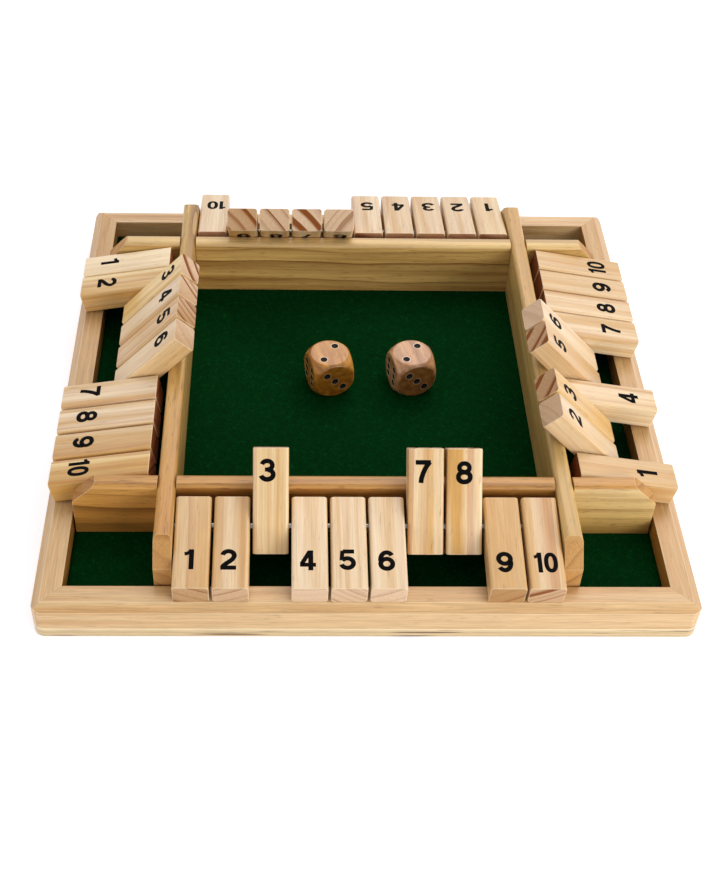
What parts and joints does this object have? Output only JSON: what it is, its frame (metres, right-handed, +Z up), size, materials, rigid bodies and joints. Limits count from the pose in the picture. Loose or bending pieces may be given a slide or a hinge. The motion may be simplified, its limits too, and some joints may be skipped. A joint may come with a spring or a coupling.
{
  "type": "shut the box game",
  "caption": "Square wooden tray with a felt-lined well, crossed dividers, rows of numbered tiles that flip on steel rods, and dice.",
  "frame": {"origin": "centre of the flat underside of the base panel", "axes": "+Z up, +X to the right and +Y to the back as seen by the front player, along the square's sides"},
  "size_m": [0.3, 0.3, 0.0625],
  "materials": {
    "plywood": "thin plywood, edge lacquered",
    "hardboard": "bare board",
    "felt": "dense green felt",
    "pine": "light pine, satin lacquer",
    "steel": "bright drawn rod",
    "tile_pine": "light pine, satin lacquer, black printed numerals",
    "dice_wood": "varnished, black painted pips"
  },
  "bodies": {
    "frame": {"base_panel": "plywood", "floor_board": "hardboard", "felt_lining": "felt", "rail_front": "pine", "rail_right": "pine", "rail_back": "pine", "rail_left": "pine", "divider_front": "pine", "divider_right": "pine", "divider_back": "pine", "divider_left": "pine", "rod_front": "steel", "rod_right": "steel", "rod_back": "steel", "rod_left": "steel"},
    "tile_front_01": {"tile_front_01": "tile_pine"},
    "tile_front_02": {"tile_front_02": "tile_pine"},
    "tile_front_03": {"tile_front_03": "tile_pine"},
    "tile_front_04": {"tile_front_04": "tile_pine"},
    "tile_front_05": {"tile_front_05": "tile_pine"},
    "tile_front_06": {"tile_front_06": "tile_pine"},
    "tile_front_07": {"tile_front_07": "tile_pine"},
    "tile_front_08": {"tile_front_08": "tile_pine"},
    "tile_front_09": {"tile_front_09": "tile_pine"},
    "tile_front_10": {"tile_front_10": "tile_pine"},
    "tile_right_01": {"tile_right_01": "tile_pine"},
    "tile_right_02": {"tile_right_02": "tile_pine"},
    "tile_right_03": {"tile_right_03": "tile_pine"},
    "tile_right_04": {"tile_right_04": "tile_pine"},
    "tile_right_05": {"tile_right_05": "tile_pine"},
    "tile_right_06": {"tile_right_06": "tile_pine"},
    "tile_right_07": {"tile_right_07": "tile_pine"},
    "tile_right_08": {"tile_right_08": "tile_pine"},
    "tile_right_09": {"tile_right_09": "tile_pine"},
    "tile_right_10": {"tile_right_10": "tile_pine"},
    "tile_back_01": {"tile_back_01": "tile_pine"},
    "tile_back_02": {"tile_back_02": "tile_pine"},
    "tile_back_03": {"tile_back_03": "tile_pine"},
    "tile_back_04": {"tile_back_04": "tile_pine"},
    "tile_back_05": {"tile_back_05": "tile_pine"},
    "tile_back_06": {"tile_back_06": "tile_pine"},
    "tile_back_07": {"tile_back_07": "tile_pine"},
    "tile_back_08": {"tile_back_08": "tile_pine"},
    "tile_back_09": {"tile_back_09": "tile_pine"},
    "tile_back_10": {"tile_back_10": "tile_pine"},
    "tile_left_01": {"tile_left_01": "tile_pine"},
    "tile_left_02": {"tile_left_02": "tile_pine"},
    "tile_left_03": {"tile_left_03": "tile_pine"},
    "tile_left_04": {"tile_left_04": "tile_pine"},
    "tile_left_05": {"tile_left_05": "tile_pine"},
    "tile_left_06": {"tile_left_06": "tile_pine"},
    "tile_left_07": {"tile_left_07": "tile_pine"},
    "tile_left_08": {"tile_left_08": "tile_pine"},
    "tile_left_09": {"tile_left_09": "tile_pine"},
    "tile_left_10": {"tile_left_10": "tile_pine"},
    "die_a": {"die_a": "dice_wood"},
    "die_b": {"die_b": "dice_wood"}
  },
  "joints": [
    {"name": "tile_front_01_flip", "type": "hinge", "parent": "frame", "child": "tile_front_01", "pos_m": [-0.07875, -0.11169, 0.0322], "axis": [-1, 0, 0], "range_deg": [0, 143]},
    {"name": "tile_front_02_flip", "type": "hinge", "parent": "frame", "child": "tile_front_02", "pos_m": [-0.06125, -0.11169, 0.0322], "axis": [-1, 0, 0], "range_deg": [0, 143]},
    {"name": "tile_front_03_flip", "type": "hinge", "parent": "frame", "child": "tile_front_03", "pos_m": [-0.04375, -0.11169, 0.0322], "axis": [-1, 0, 0], "range_deg": [-143, 0]},
    {"name": "tile_front_04_flip", "type": "hinge", "parent": "frame", "child": "tile_front_04", "pos_m": [-0.02625, -0.11169, 0.0322], "axis": [-1, 0, 0], "range_deg": [0, 143]},
    {"name": "tile_front_05_flip", "type": "hinge", "parent": "frame", "child": "tile_front_05", "pos_m": [-0.00875, -0.11169, 0.0322], "axis": [-1, 0, 0], "range_deg": [0, 143]},
    {"name": "tile_front_06_flip", "type": "hinge", "parent": "frame", "child": "tile_front_06", "pos_m": [0.00875, -0.11169, 0.0322], "axis": [-1, 0, 0], "range_deg": [0, 143]},
    {"name": "tile_front_07_flip", "type": "hinge", "parent": "frame", "child": "tile_front_07", "pos_m": [0.02625, -0.11169, 0.0322], "axis": [-1, 0, 0], "range_deg": [-143, 0]},
    {"name": "tile_front_08_flip", "type": "hinge", "parent": "frame", "child": "tile_front_08", "pos_m": [0.04375, -0.11169, 0.0322], "axis": [-1, 0, 0], "range_deg": [-143, 0]},
    {"name": "tile_front_09_flip", "type": "hinge", "parent": "frame", "child": "tile_front_09", "pos_m": [0.06125, -0.11169, 0.0322], "axis": [-1, 0, 0], "range_deg": [0, 143]},
    {"name": "tile_front_10_flip", "type": "hinge", "parent": "frame", "child": "tile_front_10", "pos_m": [0.07875, -0.11169, 0.0322], "axis": [-1, 0, 0], "range_deg": [0, 132.05]},
    {"name": "tile_right_01_flip", "type": "hinge", "parent": "frame", "child": "tile_right_01", "pos_m": [0.11169, -0.07875, 0.0322], "axis": [0, -1, 0], "range_deg": [0, 143]},
    {"name": "tile_right_02_flip", "type": "hinge", "parent": "frame", "child": "tile_right_02", "pos_m": [0.11169, -0.06125, 0.0322], "axis": [0, -1, 0], "range_deg": [-143, 0]},
    {"name": "tile_right_03_flip", "type": "hinge", "parent": "frame", "child": "tile_right_03", "pos_m": [0.11169, -0.04375, 0.0322], "axis": [0, -1, 0], "range_deg": [-143, 0]},
    {"name": "tile_right_04_flip", "type": "hinge", "parent": "frame", "child": "tile_right_04", "pos_m": [0.11169, -0.02625, 0.0322], "axis": [0, -1, 0], "range_deg": [0, 143]},
    {"name": "tile_right_05_flip", "type": "hinge", "parent": "frame", "child": "tile_right_05", "pos_m": [0.11169, -0.00875, 0.0322], "axis": [0, -1, 0], "range_deg": [-143, 0]},
    {"name": "tile_right_06_flip", "type": "hinge", "parent": "frame", "child": "tile_right_06", "pos_m": [0.11169, 0.00875, 0.0322], "axis": [0, -1, 0], "range_deg": [-143, 0]},
    {"name": "tile_right_07_flip", "type": "hinge", "parent": "frame", "child": "tile_right_07", "pos_m": [0.11169, 0.02625, 0.0322], "axis": [0, -1, 0], "range_deg": [0, 143]},
    {"name": "tile_right_08_flip", "type": "hinge", "parent": "frame", "child": "tile_right_08", "pos_m": [0.11169, 0.04375, 0.0322], "axis": [0, -1, 0], "range_deg": [0, 143]},
    {"name": "tile_right_09_flip", "type": "hinge", "parent": "frame", "child": "tile_right_09", "pos_m": [0.11169, 0.06125, 0.0322], "axis": [0, -1, 0], "range_deg": [0, 143]},
    {"name": "tile_right_10_flip", "type": "hinge", "parent": "frame", "child": "tile_right_10", "pos_m": [0.11169, 0.07875, 0.0322], "axis": [0, -1, 0], "range_deg": [0, 132.05]},
    {"name": "tile_back_01_flip", "type": "hinge", "parent": "frame", "child": "tile_back_01", "pos_m": [0.07875, 0.11169, 0.0322], "axis": [1, 0, 0], "range_deg": [0, 143]},
    {"name": "tile_back_02_flip", "type": "hinge", "parent": "frame", "child": "tile_back_02", "pos_m": [0.06125, 0.11169, 0.0322], "axis": [1, 0, 0], "range_deg": [0, 143]},
    {"name": "tile_back_03_flip", "type": "hinge", "parent": "frame", "child": "tile_back_03", "pos_m": [0.04375, 0.11169, 0.0322], "axis": [1, 0, 0], "range_deg": [0, 143]},
    {"name": "tile_back_04_flip", "type": "hinge", "parent": "frame", "child": "tile_back_04", "pos_m": [0.02625, 0.11169, 0.0322], "axis": [1, 0, 0], "range_deg": [0, 143]},
    {"name": "tile_back_05_flip", "type": "hinge", "parent": "frame", "child": "tile_back_05", "pos_m": [0.00875, 0.11169, 0.0322], "axis": [1, 0, 0], "range_deg": [0, 143]},
    {"name": "tile_back_06_flip", "type": "hinge", "parent": "frame", "child": "tile_back_06", "pos_m": [-0.00875, 0.11169, 0.0322], "axis": [1, 0, 0], "range_deg": [-143, 0]},
    {"name": "tile_back_07_flip", "type": "hinge", "parent": "frame", "child": "tile_back_07", "pos_m": [-0.02625, 0.11169, 0.0322], "axis": [1, 0, 0], "range_deg": [-143, 0]},
    {"name": "tile_back_08_flip", "type": "hinge", "parent": "frame", "child": "tile_back_08", "pos_m": [-0.04375, 0.11169, 0.0322], "axis": [1, 0, 0], "range_deg": [-143, 0]},
    {"name": "tile_back_09_flip", "type": "hinge", "parent": "frame", "child": "tile_back_09", "pos_m": [-0.06125, 0.11169, 0.0322], "axis": [1, 0, 0], "range_deg": [-143, 0]},
    {"name": "tile_back_10_flip", "type": "hinge", "parent": "frame", "child": "tile_back_10", "pos_m": [-0.07875, 0.11169, 0.0322], "axis": [1, 0, 0], "range_deg": [0, 132.05]},
    {"name": "tile_left_01_flip", "type": "hinge", "parent": "frame", "child": "tile_left_01", "pos_m": [-0.11169, 0.07875, 0.0322], "axis": [0, 1, 0], "range_deg": [0, 143]},
    {"name": "tile_left_02_flip", "type": "hinge", "parent": "frame", "child": "tile_left_02", "pos_m": [-0.11169, 0.06125, 0.0322], "axis": [0, 1, 0], "range_deg": [0, 143]},
    {"name": "tile_left_03_flip", "type": "hinge", "parent": "frame", "child": "tile_left_03", "pos_m": [-0.11169, 0.04375, 0.0322], "axis": [0, 1, 0], "range_deg": [-143, 0]},
    {"name": "tile_left_04_flip", "type": "hinge", "parent": "frame", "child": "tile_left_04", "pos_m": [-0.11169, 0.02625, 0.0322], "axis": [0, 1, 0], "range_deg": [-143, 0]},
    {"name": "tile_left_05_flip", "type": "hinge", "parent": "frame", "child": "tile_left_05", "pos_m": [-0.11169, 0.00875, 0.0322], "axis": [0, 1, 0], "range_deg": [-143, 0]},
    {"name": "tile_left_06_flip", "type": "hinge", "parent": "frame", "child": "tile_left_06", "pos_m": [-0.11169, -0.00875, 0.0322], "axis": [0, 1, 0], "range_deg": [-143, 0]},
    {"name": "tile_left_07_flip", "type": "hinge", "parent": "frame", "child": "tile_left_07", "pos_m": [-0.11169, -0.02625, 0.0322], "axis": [0, 1, 0], "range_deg": [0, 143]},
    {"name": "tile_left_08_flip", "type": "hinge", "parent": "frame", "child": "tile_left_08", "pos_m": [-0.11169, -0.04375, 0.0322], "axis": [0, 1, 0], "range_deg": [0, 143]},
    {"name": "tile_left_09_flip", "type": "hinge", "parent": "frame", "child": "tile_left_09", "pos_m": [-0.11169, -0.06125, 0.0322], "axis": [0, 1, 0], "range_deg": [0, 143]},
    {"name": "tile_left_10_flip", "type": "hinge", "parent": "frame", "child": "tile_left_10", "pos_m": [-0.11169, -0.07875, 0.0322], "axis": [0, 1, 0], "range_deg": [0, 132.05]},
    {"name": "die_a_lift", "type": "slide", "parent": "frame", "child": "die_a", "axis": [0, 0, 1], "range_m": [0, 0.1]},
    {"name": "die_b_lift", "type": "slide", "parent": "frame", "child": "die_b", "axis": [0, 0, 1], "range_m": [0, 0.1]}
  ]
}
